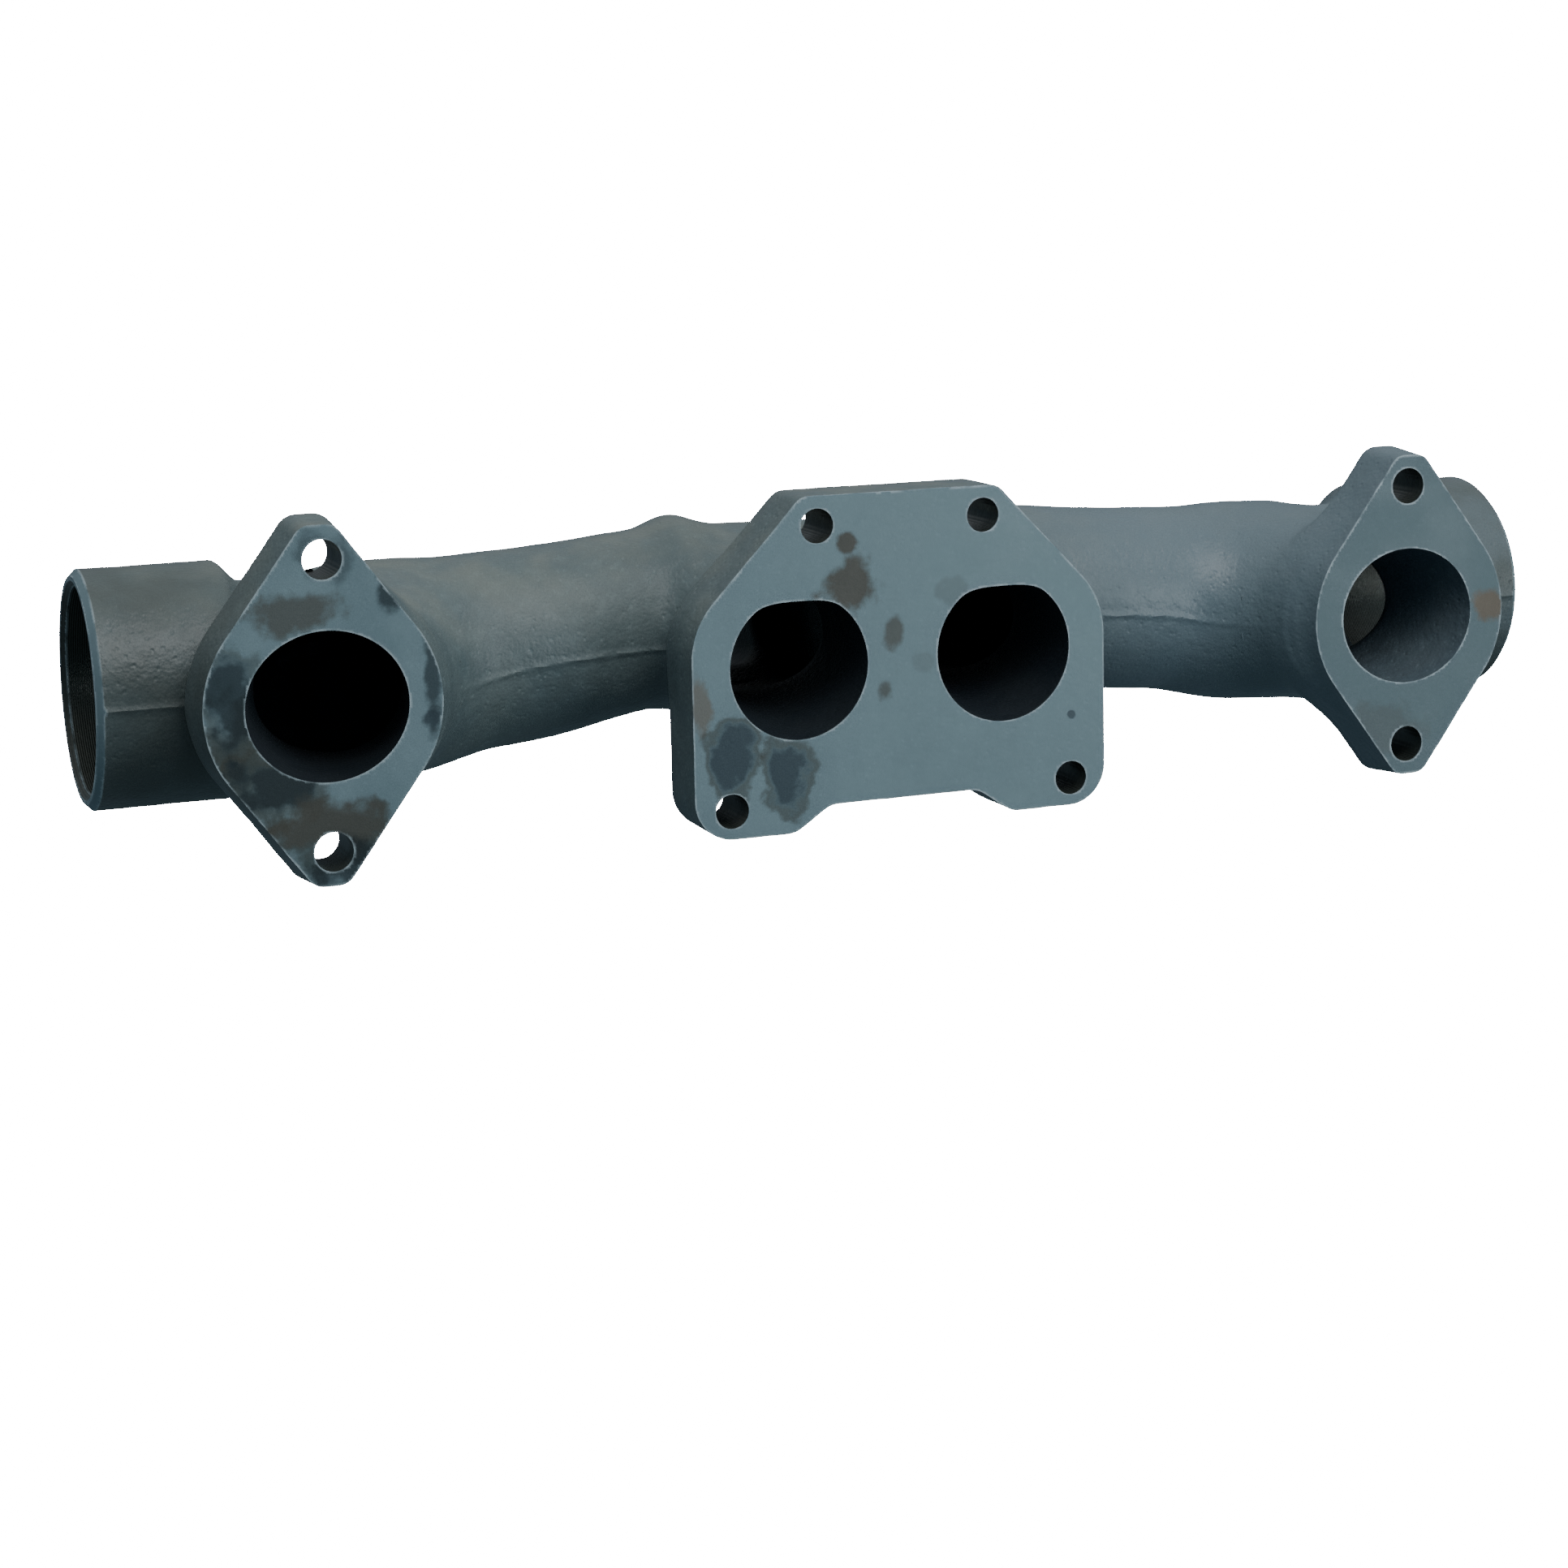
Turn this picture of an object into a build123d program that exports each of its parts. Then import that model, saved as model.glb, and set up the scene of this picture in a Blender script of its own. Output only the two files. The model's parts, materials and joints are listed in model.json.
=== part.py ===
"""Centre section of a six-cylinder exhaust manifold, as separate named solids.

Frame, in millimetres: +X runs along the manifold, +Y away from the cylinder head, +Z up.
The origin is the centre of the middle flange's port face, so every port face lies in Y = 0.
Left is -X and right is +X. The part is symmetric about X = 0.
"""
from build123d import *
import os

os.makedirs("parts", exist_ok=True)

# Outer ports: distance from the middle, and the height of the bolt rows above and below it.
PORT_X = 185.3
BOLT_ROW = 44.0

# Gas pipe: the axis is straight in plan, and its height and radius change along X.
AXIS_Y = 65.7
WALL = 5.6
WAIST_R = 30.8
COLLECTOR_END = 77.0
RUNNER_END = PORT_X - 48.3
BODY_END = PORT_X + 11.7
RUNNER = RUNNER_END - COLLECTOR_END
PIPE_STATIONS = [
    # (distance from the middle, height of the axis, outer radius)
    (0.0, 8.3, 29.5),
    (20.0, 8.3, 29.5),
    (38.0, 8.5, 29.7),
    (54.0, 10.2, 32.3),
    (67.0, 8.7, 30.0),
    (COLLECTOR_END, 7.3, 30.3),
    (COLLECTOR_END + 0.38 * RUNNER, 4.0, 31.5),
    (COLLECTOR_END + 0.72 * RUNNER, 2.4, 32.0),
    (RUNNER_END, 0.8, 32.9),
    (PORT_X - 31.3, 0.0, 33.5),
    (PORT_X - 17.3, -0.5, 33.4),
    (PORT_X - 5.3, -0.2, 31.4),
    (PORT_X + 2.7, 0.0, WAIST_R),
    (BODY_END, 0.0, WAIST_R),
]
STATION_STEP = 8.0

# Slip-joint socket at each end.
SOCKET_BORE_R = 32.3
SOCKET_WALL = 5.3
SOCKET_R = SOCKET_BORE_R + SOCKET_WALL
SOCKET_DEPTH = 38.0
SOCKET_SHOULDER = BODY_END + 9.0
SOCKET_END = SOCKET_SHOULDER + 42.7
SOCKET_CHAMFER = 2.2

# Diamond flange and neck of the outer ports.
PORT_T = 20.0
PORT_DRAFT = 1.7
PORT_HOLE_R = 6.0
PORT_HALF_W = 24.8
PORT_HALF_H = 22.8
DIAMOND_R = PORT_HALF_W + 11.6
DIAMOND_SHIFT = 1.0
TIP_R = 6.0
TIP_HALF = 2.7
TIP_HEIGHT = BOLT_ROW + 4.5
PORT_NECK_WALL = 6.3
NECK_PINCH = 0.8
INNER_PORT_R = PORT_HALF_W - 3.0
INNER_NECK_R = INNER_PORT_R + 5.2
PORT_LEAN = 14.3
OVAL = 0.2

# Middle flange, shared by the two middle ports.
CENTRE_T = 24.0
CENTRE_PORT_X = 35.2
CENTRE_PORT_R = 23.2
CENTRE_PORT_FLAT = CENTRE_PORT_R - 2.4
CENTRE_HOLE_R = 5.5
CENTRE_TOP_X = 28.4
CENTRE_BOTTOM_X = 58.7
CENTRE_OUTLINE = [
    # (x, z, corner radius), right half from the top down
    (CENTRE_TOP_X + 5.2, BOLT_ROW + 9.6, 6.0),
    (CENTRE_BOTTOM_X + 12.3, 14.2, 27.0),
    (CENTRE_BOTTOM_X + 12.3, -BOLT_ROW - 9.2, 13.0),
    (CENTRE_BOTTOM_X - 21.2, -BOLT_ROW - 9.2, 8.0),
    (CENTRE_BOTTOM_X - 33.2, -BOLT_ROW - 1.0, 8.0),
]
CENTRE_NECK_R = CENTRE_PORT_R + 5.8
CENTRE_INNER_X = CENTRE_PORT_X - 2.2
CENTRE_INNER_Z = 6.0
CENTRE_INNER_PORT_R = CENTRE_PORT_R - 2.7
CENTRE_INNER_NECK_R = CENTRE_INNER_PORT_R + 5.5

# Depths of the necks' and passages' inner ends, inside the pipe.
NECK_DEPTH = AXIS_Y - 7.7
PASSAGE_DEPTH = AXIS_Y - 3.7

# Turbocharger neck and flange behind the collector.
TURBO_FACE = AXIS_Y + 50.3
TURBO_T = 14.0
TURBO_W = 124.0
TURBO_H = 56.0
TURBO_Z = 1.0
TURBO_CORNER = 9.0
TURBO_PORT_X = 31.6
TURBO_PORT_W = 28.8
TURBO_PORT_H = 38.0
TURBO_PORT_CORNER = 8.0
TURBO_HOLE_R = 4.25
TURBO_HOLE_X = TURBO_W / 2 - 8.0
TURBO_HOLE_Z = TURBO_H / 2 - 8.0
TURBO_NECK_W = TURBO_W - 20.0
TURBO_NECK_H = TURBO_H - 6.0
TURBO_NECK_CORNER = 18.0
TURBO_ROOT_Y = AXIS_Y + 9.3
TURBO_ROOT_Z = 6.0
TURBO_ROOT_W = TURBO_NECK_W - 8.0
TURBO_ROOT_H = TURBO_NECK_H - 6.0
TURBO_PORT_ROOT_Y = AXIS_Y + 0.3
TURBO_PORT_ROOT_Z = 8.0
TURBO_PORT_ROOT_H = TURBO_PORT_H - 4.0
DIVIDER_T = 6.0

# The divider and the cut of the middle ports' flat are drawn from blocks this large.
REACH = 400.0
SIDES = [("left", -1), ("right", 1)]


def depth_plane(y):
    """Return the sketch plane at depth y: local x is +X and local y is +Z."""
    return Plane(origin=(0, y, 0), x_dir=(1, 0, 0), z_dir=(0, -1, 0))


def station_plane(x):
    """Return the sketch plane across the pipe at x: local x is +Y and local y is +Z."""
    return Plane(origin=(x, 0, 0), x_dir=(0, 1, 0), z_dir=(1, 0, 0))


def station_slope(index, column):
    """Return a station's slope, level at both ends and at each crest or dip."""
    if index == 0 or index == len(PIPE_STATIONS) - 1:
        return 0.0
    before, here, after = PIPE_STATIONS[index - 1:index + 2]
    near_slope = (here[column] - before[column]) / (here[0] - before[0])
    far_slope = (after[column] - here[column]) / (after[0] - here[0])
    if near_slope * far_slope <= 0:
        return 0.0
    return 2 * near_slope * far_slope / (near_slope + far_slope)


def pipe_value(x, column):
    """Return the axis height (column 1) or the radius (column 2) at a distance from the middle."""
    index = max(i for i, station in enumerate(PIPE_STATIONS[:-1]) if station[0] <= x)
    here, after = PIPE_STATIONS[index:index + 2]
    span = after[0] - here[0]
    t = (x - here[0]) / span
    smooth = t * t * (3 - 2 * t)
    level = here[column] + (after[column] - here[column]) * smooth
    leave = station_slope(index, column) * span * t * (1 - t) ** 2
    arrive = station_slope(index + 1, column) * span * t * t * (1 - t)
    return level + leave - arrive


def pipe_stretch(side, near, far, wall):
    """Return the solid pipe between two distances from the middle, its radius less a wall."""
    steps = round((far - near) / STATION_STEP)
    with BuildPart() as stretch:
        for step in range(steps + 1):
            x = near + (far - near) * step / steps
            with BuildSketch(station_plane(side * x)):
                with Locations((AXIS_Y, pipe_value(x, 1))):
                    Circle(pipe_value(x, 2) - wall)
        loft()
    return stretch.part


collector_outer = {}
collector_inner = {}
body_outer = {}
port_way = {}
centre_way = {}
socket_outer = {}

for name, side in SIDES:
    collector_outer[name] = pipe_stretch(side, 0, COLLECTOR_END, 0)
    collector_inner[name] = pipe_stretch(side, 0, COLLECTOR_END, WALL)
    body_outer[name] = pipe_stretch(side, RUNNER_END, BODY_END, 0)

    with BuildPart() as port_passage:
        with BuildSketch(depth_plane(0)):
            with Locations((side * PORT_X, 0)):
                Ellipse(PORT_HALF_W, PORT_HALF_H)
        with BuildSketch(depth_plane(PASSAGE_DEPTH)):
            with Locations((side * (PORT_X - PORT_LEAN), 0)):
                Ellipse(INNER_PORT_R, INNER_PORT_R - OVAL)
        loft()
    port_way[name] = port_passage.part

    with BuildPart() as centre_passage:
        with BuildSketch(depth_plane(CENTRE_T)):
            with Locations((side * CENTRE_PORT_X, 0)):
                Circle(CENTRE_PORT_R)
        with BuildSketch(depth_plane(PASSAGE_DEPTH)):
            with Locations((side * CENTRE_INNER_X, CENTRE_INNER_Z)):
                Circle(CENTRE_INNER_PORT_R)
        loft()
    centre_way[name] = centre_passage.part

    with BuildPart() as socket_body:
        with BuildSketch(Plane.XY):
            with BuildLine():
                Polyline(
                    (side * BODY_END, 0),
                    (side * BODY_END, WAIST_R),
                    (side * SOCKET_SHOULDER, SOCKET_R),
                    (side * (SOCKET_END - SOCKET_CHAMFER), SOCKET_R),
                    (side * SOCKET_END, SOCKET_R - SOCKET_CHAMFER),
                    (side * SOCKET_END, 0),
                    close=True,
                )
            make_face()
        revolve(axis=Axis.X)
    socket_outer[name] = socket_body.part.moved(Location((0, AXIS_Y, 0)))

turbo_way = {}
for name, side in SIDES:
    with BuildPart() as turbo_passage:
        with BuildSketch(depth_plane(TURBO_PORT_ROOT_Y)):
            with Locations((side * TURBO_PORT_X, TURBO_PORT_ROOT_Z)):
                RectangleRounded(TURBO_PORT_W, TURBO_PORT_ROOT_H, TURBO_PORT_CORNER)
        with BuildSketch(depth_plane(TURBO_FACE)):
            with Locations((side * TURBO_PORT_X, TURBO_Z)):
                RectangleRounded(TURBO_PORT_W, TURBO_PORT_H, TURBO_PORT_CORNER)
        loft()
    turbo_way[name] = turbo_passage.part


for name, side in SIDES:
    with BuildPart() as collector:
        add(collector_outer[name])
        add(collector_inner[name], mode=Mode.SUBTRACT)
        add(centre_way[name], mode=Mode.SUBTRACT)
        add(turbo_way[name], mode=Mode.SUBTRACT)
    collector.part.label = name + "_collector"
    export_step(collector.part, "parts/" + name + "_collector.step")

    with BuildPart() as runner:
        add(pipe_stretch(side, COLLECTOR_END, RUNNER_END, 0))
        add(pipe_stretch(side, COLLECTOR_END, RUNNER_END, WALL), mode=Mode.SUBTRACT)
    runner.part.label = name + "_runner"
    export_step(runner.part, "parts/" + name + "_runner.step")

    with BuildPart() as branch_body:
        add(body_outer[name])
        add(pipe_stretch(side, RUNNER_END, BODY_END, WALL), mode=Mode.SUBTRACT)
        add(port_way[name], mode=Mode.SUBTRACT)
    branch_body.part.label = name + "_branch_body"
    export_step(branch_body.part, "parts/" + name + "_branch_body.step")

    with BuildPart() as socket:
        add(socket_outer[name])
        with BuildSketch(station_plane(side * SOCKET_END)):
            with Locations((AXIS_Y, 0)):
                Circle(SOCKET_BORE_R)
        extrude(amount=-side * SOCKET_DEPTH, mode=Mode.SUBTRACT)
        with BuildSketch(station_plane(side * BODY_END)):
            with Locations((AXIS_Y, 0)):
                Circle(WAIST_R - WALL)
        extrude(amount=side * SOCKET_DEPTH, mode=Mode.SUBTRACT)
    socket.part.label = name + "_socket"
    export_step(socket.part, "parts/" + name + "_socket.step")

    with BuildPart() as port_neck:
        with BuildSketch(depth_plane(PORT_T)):
            with Locations((side * (PORT_X - PORT_LEAN * PORT_T / PASSAGE_DEPTH), 0)):
                Ellipse(PORT_HALF_W + PORT_NECK_WALL - NECK_PINCH, PORT_HALF_H + PORT_NECK_WALL)
        with BuildSketch(depth_plane(NECK_DEPTH)):
            with Locations((side * (PORT_X - PORT_LEAN * NECK_DEPTH / PASSAGE_DEPTH), 0)):
                Ellipse(INNER_NECK_R, INNER_NECK_R - OVAL)
        loft()
        add(body_outer[name], mode=Mode.SUBTRACT)
        add(socket_outer[name], mode=Mode.SUBTRACT)
        add(port_way[name], mode=Mode.SUBTRACT)
    port_neck.part.label = name + "_port_neck"
    export_step(port_neck.part, "parts/" + name + "_port_neck.step")

    with BuildPart() as port_flange:
        for depth, growth in ((0, 0), (PORT_T, PORT_DRAFT)):
            with BuildSketch(depth_plane(depth)):
                with Locations((side * (PORT_X + DIAMOND_SHIFT), 0)):
                    Circle(DIAMOND_R + growth)
                for u in (-TIP_HALF, TIP_HALF):
                    for v in (-TIP_HEIGHT, TIP_HEIGHT):
                        with Locations((side * PORT_X + u, v)):
                            Circle(TIP_R + growth)
                make_hull()
        loft()
        with BuildSketch(depth_plane(0)):
            with Locations((side * PORT_X, BOLT_ROW), (side * PORT_X, -BOLT_ROW)):
                Circle(PORT_HOLE_R)
        extrude(amount=-PORT_T, mode=Mode.SUBTRACT)
        add(port_way[name], mode=Mode.SUBTRACT)
    port_flange.part.label = name + "_port_flange"
    export_step(port_flange.part, "parts/" + name + "_port_flange.step")

    with BuildPart() as centre_neck:
        with BuildSketch(depth_plane(CENTRE_T)):
            with Locations((side * CENTRE_PORT_X, 0)):
                Circle(CENTRE_NECK_R)
        with BuildSketch(depth_plane(NECK_DEPTH)):
            with Locations((side * CENTRE_INNER_X, CENTRE_INNER_Z)):
                Circle(CENTRE_INNER_NECK_R)
        loft()
        add(collector_outer[name], mode=Mode.SUBTRACT)
        add(centre_way[name], mode=Mode.SUBTRACT)
    centre_neck.part.label = name + "_centre_neck"
    export_step(centre_neck.part, "parts/" + name + "_centre_neck.step")

outline = [(x, z) for x, z, r in CENTRE_OUTLINE]
outline += [(-x, z) for x, z, r in reversed(CENTRE_OUTLINE)]
corners = [r for x, z, r in CENTRE_OUTLINE]
corners += [r for x, z, r in reversed(CENTRE_OUTLINE)]

with BuildPart() as centre_port_flange:
    with BuildSketch(depth_plane(0)):
        with BuildLine():
            FilletPolyline(*outline, radius=corners, close=True)
        make_face()
    extrude(amount=-CENTRE_T)
    with BuildSketch(depth_plane(0)):
        with Locations((-CENTRE_PORT_X, 0), (CENTRE_PORT_X, 0)):
            Circle(CENTRE_PORT_R)
        with Locations((0, CENTRE_PORT_FLAT + CENTRE_PORT_R / 2)):
            Rectangle(REACH, CENTRE_PORT_R, mode=Mode.SUBTRACT)
        with Locations((-CENTRE_TOP_X, BOLT_ROW), (CENTRE_TOP_X, BOLT_ROW)):
            Circle(CENTRE_HOLE_R)
        with Locations((-CENTRE_BOTTOM_X, -BOLT_ROW), (CENTRE_BOTTOM_X, -BOLT_ROW)):
            Circle(CENTRE_HOLE_R)
    extrude(amount=-CENTRE_T, mode=Mode.SUBTRACT)
centre_port_flange.part.label = "centre_port_flange"
export_step(centre_port_flange.part, "parts/centre_port_flange.step")

with BuildPart() as collector_divider:
    with Locations((0, AXIS_Y, 0)):
        Box(DIVIDER_T, REACH, REACH)
    add(collector_inner["left"] + collector_inner["right"], mode=Mode.INTERSECT)
collector_divider.part.label = "collector_divider"
export_step(collector_divider.part, "parts/collector_divider.step")

with BuildPart() as turbo_neck:
    with BuildSketch(depth_plane(TURBO_ROOT_Y)):
        with Locations((0, TURBO_ROOT_Z)):
            RectangleRounded(TURBO_ROOT_W, TURBO_ROOT_H, TURBO_NECK_CORNER)
    with BuildSketch(depth_plane(TURBO_FACE - TURBO_T)):
        with Locations((0, TURBO_Z)):
            RectangleRounded(TURBO_NECK_W, TURBO_NECK_H, TURBO_NECK_CORNER)
    loft()
    add(collector_outer["left"], mode=Mode.SUBTRACT)
    add(collector_outer["right"], mode=Mode.SUBTRACT)
    add(turbo_way["left"], mode=Mode.SUBTRACT)
    add(turbo_way["right"], mode=Mode.SUBTRACT)
turbo_neck.part.label = "turbo_neck"
export_step(turbo_neck.part, "parts/turbo_neck.step")

with BuildPart() as turbo_flange:
    with BuildSketch(depth_plane(TURBO_FACE)):
        with Locations((0, TURBO_Z)):
            RectangleRounded(TURBO_W, TURBO_H, TURBO_CORNER)
    extrude(amount=TURBO_T)
    with BuildSketch(depth_plane(TURBO_FACE)):
        with Locations((0, TURBO_Z)):
            with GridLocations(2 * TURBO_HOLE_X, 2 * TURBO_HOLE_Z, 2, 2):
                Circle(TURBO_HOLE_R)
    extrude(amount=TURBO_T, mode=Mode.SUBTRACT)
    add(turbo_way["left"], mode=Mode.SUBTRACT)
    add(turbo_way["right"], mode=Mode.SUBTRACT)
turbo_flange.part.label = "turbo_flange"
export_step(turbo_flange.part, "parts/turbo_flange.step")
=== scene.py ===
"""Looks of the exhaust manifold's centre section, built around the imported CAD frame.

The casting is described as a signed distance field: pipes, necks and plates blended as the
pattern maker blends them, then cut by the machined faces, bores and gas ways. Each node's
region of the field is turned into one closed mesh whose arrises lie exactly on the cuts.
Lengths in the field are millimetres in the row frame; Blender objects are in metres.
"""
from __future__ import annotations

import json
import logging
import math
from dataclasses import dataclass
from enum import IntEnum
from typing import Callable

import bpy
import numpy as np
from mathutils import Matrix, Vector

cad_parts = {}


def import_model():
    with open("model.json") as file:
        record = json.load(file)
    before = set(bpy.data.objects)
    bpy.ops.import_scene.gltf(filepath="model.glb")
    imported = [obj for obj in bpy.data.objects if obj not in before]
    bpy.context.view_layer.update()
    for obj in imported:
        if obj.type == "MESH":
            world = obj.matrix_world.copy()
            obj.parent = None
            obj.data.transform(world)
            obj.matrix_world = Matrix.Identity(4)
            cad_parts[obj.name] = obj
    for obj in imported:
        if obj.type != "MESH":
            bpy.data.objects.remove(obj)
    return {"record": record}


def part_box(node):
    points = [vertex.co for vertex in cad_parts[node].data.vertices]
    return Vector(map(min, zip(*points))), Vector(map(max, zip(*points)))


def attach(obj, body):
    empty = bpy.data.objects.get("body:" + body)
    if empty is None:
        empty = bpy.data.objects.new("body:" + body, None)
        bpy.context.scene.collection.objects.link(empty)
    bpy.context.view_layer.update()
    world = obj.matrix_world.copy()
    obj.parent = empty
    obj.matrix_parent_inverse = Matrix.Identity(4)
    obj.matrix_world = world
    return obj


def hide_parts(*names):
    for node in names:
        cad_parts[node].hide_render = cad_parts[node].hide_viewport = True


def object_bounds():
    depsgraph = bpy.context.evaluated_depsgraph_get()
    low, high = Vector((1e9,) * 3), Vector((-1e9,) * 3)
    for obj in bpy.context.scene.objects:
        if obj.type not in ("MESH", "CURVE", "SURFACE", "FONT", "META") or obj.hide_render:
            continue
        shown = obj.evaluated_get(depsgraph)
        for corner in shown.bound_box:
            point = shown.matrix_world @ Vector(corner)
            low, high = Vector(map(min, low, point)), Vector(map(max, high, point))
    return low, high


LOG = logging.getLogger("manifold")
MM = 0.001
CELL = 1.0
Array = np.ndarray
Field = Callable[[Array, Array, Array], Array]


class Skin(IntEnum):
    """Which finish a cut or a face has; the values are material slots of each mesh."""

    CAST = 0
    MACHINED = 1
    TURNED = 2
    GAS = 3


@dataclass(frozen=True)
class Surface:
    """One bounding surface of a solid: negative inside, with the finish that it leaves.

    A join is a plane where two regions of the one casting meet, so its rim isn't an arris.
    """

    name: str
    value: Field
    finish: Skin = Skin.CAST
    join: bool = False


@dataclass(frozen=True)
class Region:
    """A solid bounded by surfaces, inside a block given by two corners in millimetres."""

    node: str
    surfaces: tuple[Surface, ...]
    low: tuple[float, float, float]
    high: tuple[float, float, float]


@dataclass
class Solid:
    """A polygonised region: points in millimetres, quads, each quad's finish, arris marks."""

    points: Array
    quads: Array
    finish: Array
    arris: Array

    def mirrored(self) -> Solid:
        """Return the solid mirrored in the plane X = 0."""
        return Solid(self.points * (-1, 1, 1), self.quads[:, ::-1], self.finish, self.arris)


# --------------------------------------------------------------------------- sizes

# Distance from the middle, height of the axis, outer radius of the pipe.
PIPE_STATIONS = (
    (0.0, 8.3, 29.5),
    (20.0, 8.3, 29.5),
    (38.0, 8.5, 29.7),
    (54.0, 10.2, 32.3),
    (67.0, 8.7, 30.0),
    (77.0, 7.3, 30.3),
    (99.8, 4.0, 31.5),
    (120.2, 2.4, 32.0),
    (137.0, 0.8, 32.9),
    (154.0, 0.0, 33.5),
    (168.0, -0.5, 33.4),
    (180.0, -0.2, 31.4),
    (188.0, 0.0, 30.8),
    (197.0, 0.0, 30.8),
    (206.0, 0.0, 37.6),
    (260.0, 0.0, 37.6),
)
# Distance from the middle and height of the parting line.
SEAM_STATIONS = (
    (60.0, 3.2),
    (88.0, 2.5),
    (112.0, 0.7),
    (132.0, -2.8),
    (154.0, -4.0),
    (197.0, -1.5),
    (250.0, -1.0),
)
WALL = 5.6
# Half of the middle flange's outline: x, z and corner radius, from the top down.
CENTRE_OUTLINE = (
    (33.6, 53.6, 6.0),
    (71.0, 14.2, 27.0),
    (71.0, -53.2, 13.0),
    (37.5, -53.2, 8.0),
    (25.5, -45.0, 8.0),
)
# The raised parting line: height and half width.
SEAM_HEIGHT = 0.55
SEAM_HALF = 0.9
# Fillet sizes where necks, plates, elbows and gas ways run into one another.
NECK_BLEND = 12.0
PLATE_BLEND = 11.0
ELBOW_BLEND = 12.0
GAS_BLEND = 6.0
# How far the necks and plates reach into their neighbours, so that they blend.
OVERLAP = 5.0
NECK_END = 60.0
# The elbow between an outer port and the pipe.
ELBOW_R = 29.8
ELBOW_NEAR = (8.0, 22.0)
ELBOW_FAR = (34.0, 60.0)
# The outer port: sideways lean per millimetre of depth, half sizes and their taper.
PORT_DRAFT = 1.7
PORT_LEAN = 0.231
PORT_HALF_W = 24.8
PORT_HALF_H = 22.8
PORT_TAPER_W = 0.045
PORT_TAPER_H = 0.018
# A middle port: place, radius, flat over the top, and what changes down its depth.
MIDDLE_X = 35.2
MIDDLE_R = 23.2
MIDDLE_FLAT = 20.8
MIDDLE_SHIFT = 2.2
MIDDLE_RISE = 6.0
MIDDLE_SHRINK = 2.7
MIDDLE_NECK_R = 29.0
MIDDLE_NECK_SHRINK = 3.0
PASSAGE_DEPTH = 62.0
# The passages end just past the gas pipe's axis.
PASSAGE_END = 66.0
# Planes where the necks' regions end.
PORT_CUT = 26.9
CENTRE_CUT = 32.9
TURBO_CUT = 98.9
# Chamfers of the sockets' mouths.
RIM_CHAMFER = 2.2
LIP_CHAMFER = 1.8


@dataclass(frozen=True)
class Sizes:
    """Sizes in millimetres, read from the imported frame."""

    axis_y: float
    collector_end: float
    runner_end: float
    body_end: float
    socket_end: float
    socket_r: float
    bore_r: float
    bore_depth: float
    port_x: float
    port_t: float
    bolt_row: float
    port_hole_r: float
    tip_z: float
    centre_t: float
    centre_hole_r: float
    centre_top_x: float
    centre_bottom_x: float
    turbo_front: float
    turbo_face: float
    turbo_w: float
    turbo_z: float
    turbo_h: float
    turbo_hole_r: float
    turbo_hole_x: float
    turbo_hole_z: float


def node_box(node: str) -> tuple[Array, Array]:
    """Return a CAD node's lowest and highest corners in millimetres."""
    low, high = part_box(node)
    return np.array(low) / MM, np.array(high) / MM


def read_sizes(record: dict) -> Sizes:
    """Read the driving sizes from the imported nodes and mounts.

    Args:
        record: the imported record, whose mounts hold hole radii and spacings.

    Returns:
        The sizes, in millimetres.
    """
    mounts = {mount["name"]: mount for mount in record["mounts"]}
    socket_low, socket_high = node_box("right_socket")
    flange_low, flange_high = node_box("right_port_flange")
    turbo_low, turbo_high = node_box("turbo_flange")
    bore = mounts["right_socket_bore"]["dims"]
    port = mounts["right_port_bolts"]
    top = mounts["centre_top_bolts"]["dims"]
    bottom = mounts["centre_bottom_bolts"]["dims"]
    turbo = mounts["turbo_bolts"]["dims"]
    return Sizes(
        axis_y=(socket_low[1] + socket_high[1]) / 2,
        collector_end=node_box("right_collector")[1][0],
        runner_end=node_box("right_runner")[1][0],
        body_end=node_box("right_branch_body")[1][0],
        socket_end=socket_high[0],
        socket_r=(socket_high[1] - socket_low[1]) / 2,
        bore_r=bore["r_mm"],
        bore_depth=bore["length_mm"],
        port_x=port["pos_m"][0] / MM,
        port_t=flange_high[1] - flange_low[1],
        bolt_row=port["dims"]["spacing_y_mm"] / 2,
        port_hole_r=port["dims"]["hole_r_mm"],
        tip_z=flange_high[2] - PORT_DRAFT,
        centre_t=node_box("centre_port_flange")[1][1],
        centre_hole_r=top["hole_r_mm"],
        centre_top_x=top["spacing_x_mm"] / 2,
        centre_bottom_x=bottom["spacing_x_mm"] / 2,
        turbo_front=turbo_low[1],
        turbo_face=turbo_high[1],
        turbo_w=turbo_high[0] - turbo_low[0],
        turbo_z=(turbo_high[2] + turbo_low[2]) / 2,
        turbo_h=turbo_high[2] - turbo_low[2],
        turbo_hole_r=turbo["hole_r_mm"],
        turbo_hole_x=turbo["spacing_x_mm"] / 2,
        turbo_hole_z=turbo["spacing_y_mm"] / 2,
    )


# --------------------------------------------------------------------------- field tools


def smooth_min(a: Array, b: Array, radius: float) -> Array:
    """Return the union of two fields with a fillet of about this radius between them."""
    blend = np.maximum(radius - np.abs(a - b), 0.0) / radius
    return np.minimum(a, b) - blend * blend * radius * 0.25


def smooth_max(a: Array, b: Array, radius: float) -> Array:
    """Return the intersection of two fields with a rounded edge."""
    return -smooth_min(-a, -b, radius)


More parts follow.
